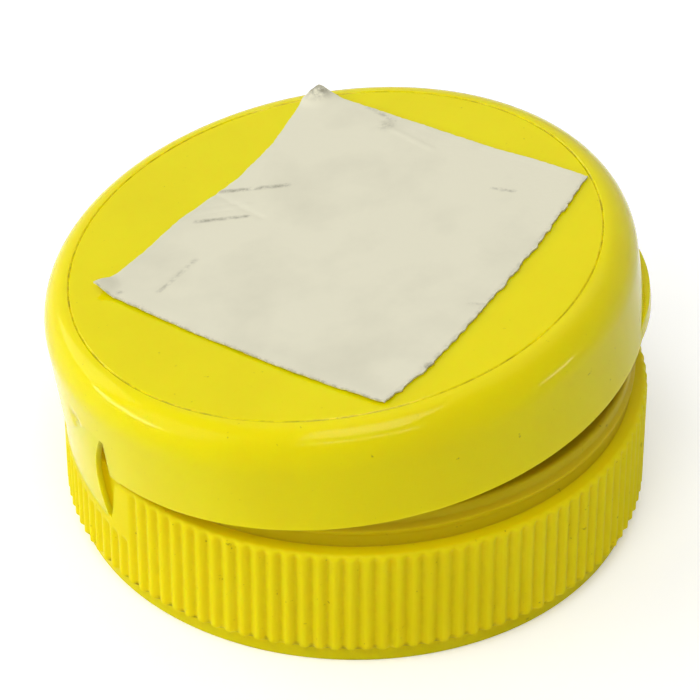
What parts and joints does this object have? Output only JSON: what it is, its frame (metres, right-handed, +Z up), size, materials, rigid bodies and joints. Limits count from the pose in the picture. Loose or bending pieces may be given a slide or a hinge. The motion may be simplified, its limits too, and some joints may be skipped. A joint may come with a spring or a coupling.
{
  "type": "flip top cap",
  "caption": "Round yellow flip top cap with a ribbed skirt, a snap-hinged domed lid held ajar and a torn paper label on top.",
  "frame": {"origin": "centre of the bottle thread, in the plane of the base's lower rim", "axes": "+Z up along the thread's axis towards the lid, hinge at -X, thumb lip at +X"},
  "size_m": [0.0424, 0.0418, 0.0232],
  "materials": {
    "base_moulding": "satin moulded polypropylene",
    "lid_moulding": "glossy moulded polypropylene",
    "web_moulding": "glossy moulded polypropylene",
    "paper": "creased and soiled paper"
  },
  "bodies": {
    "base": {"cap_base": "base_moulding", "hinge_web": "web_moulding"},
    "lid": {"flip_lid": "lid_moulding", "paper_label": "paper"}
  },
  "joints": [
    {"name": "lid_hinge", "type": "hinge", "parent": "base", "child": "lid", "pos_m": [-0.02095, 0, 0.0076], "axis": [0, -1, 0], "range_deg": [-8.45, 141.5], "deforming": ["hinge_web"]}
  ]
}
